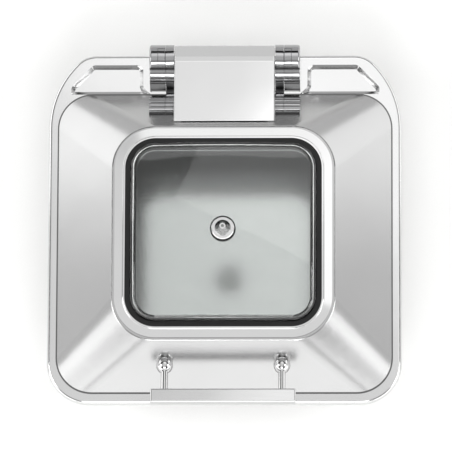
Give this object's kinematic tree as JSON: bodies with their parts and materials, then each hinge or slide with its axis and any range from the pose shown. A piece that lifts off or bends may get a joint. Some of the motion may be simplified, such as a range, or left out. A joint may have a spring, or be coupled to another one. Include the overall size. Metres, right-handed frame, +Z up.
{
  "type": "chafing dish",
  "caption": "Induction chafing dish: a deep-drawn water pan holding a food pan, under a hinged pressed lid with a domed glass window, steam vent and front bar handle.",
  "frame": {"origin": "centre of the flat induction base where it stands on the table, under the middle of the well and lid", "axes": "+Z up, the front with the handle towards -Y, the hinge at +Y, +X to the right seen from the front"},
  "size_m": [0.42, 0.4402, 0.2024],
  "materials": {
    "satin_stainless": "deep-drawn stainless, softly polished",
    "lid_stainless": "pressed stainless, polished",
    "polished_stainless": "mirror-polished stainless",
    "pan_stainless": "drawn stainless, bright annealed",
    "base_stainless": "turned magnetic stainless",
    "core_aluminium": "plain",
    "hinge_chrome": "cast and chrome plated",
    "handle_stainless": "polished",
    "black_silicone": "moulded, semi-matt",
    "window_glass": "tempered, clear",
    "screw_steel": "turned stainless",
    "spring_steel": "drawn wire",
    "bush_nylon": "natural nylon",
    "damper_body": "dark, satin"
  },
  "bodies": {
    "base": {"water_pan": "satin_stainless", "induction_core": "core_aluminium", "induction_cap": "base_stainless", "hinge_plate": "polished_stainless", "hinge_backing_plate": "satin_stainless", "hinge_pin": "screw_steel", "hinge_screws": "screw_steel", "hinge_nuts": "screw_steel", "hinge_cheek_left": "hinge_chrome", "hinge_cheek_right": "hinge_chrome", "cheek_cap_left": "hinge_chrome", "cheek_cap_right": "hinge_chrome", "lid_spring_left": "spring_steel", "lid_spring_right": "spring_steel", "damper": "damper_body"},
    "pan": {"food_pan": "pan_stainless"},
    "lid": {"lid_shell": "lid_stainless", "window_bezel": "polished_stainless", "window_gasket": "black_silicone", "window_glass": "window_glass", "window_clamp": "satin_stainless", "clamp_screws": "screw_steel", "vent_cap": "polished_stainless", "vent_seals": "black_silicone", "vent_nut": "screw_steel", "lid_lever_left": "hinge_chrome", "lid_lever_right": "hinge_chrome", "lever_foot_left": "hinge_chrome", "lever_foot_right": "hinge_chrome", "lever_bush_left": "bush_nylon", "lever_bush_right": "bush_nylon", "hinge_cover": "polished_stainless", "lid_bracket": "satin_stainless", "bracket_screws": "screw_steel", "bracket_nut_strip": "satin_stainless", "handle_boss_left": "handle_stainless", "handle_boss_right": "handle_stainless", "handle_post_left": "handle_stainless", "handle_post_right": "handle_stainless", "handle_bar": "handle_stainless", "handle_screws": "screw_steel", "handle_washers": "screw_steel"}
  },
  "joints": [
    {"name": "lid_hinge", "type": "hinge", "parent": "base", "child": "lid", "pos_m": [0, 0.21945, 0.1275], "axis": [-1, 0, 0], "range_deg": [0, 90]},
    {"name": "pan_lift", "type": "slide", "parent": "base", "child": "pan", "axis": [0, 0, 1], "range_m": [0, 0.008]}
  ]
}
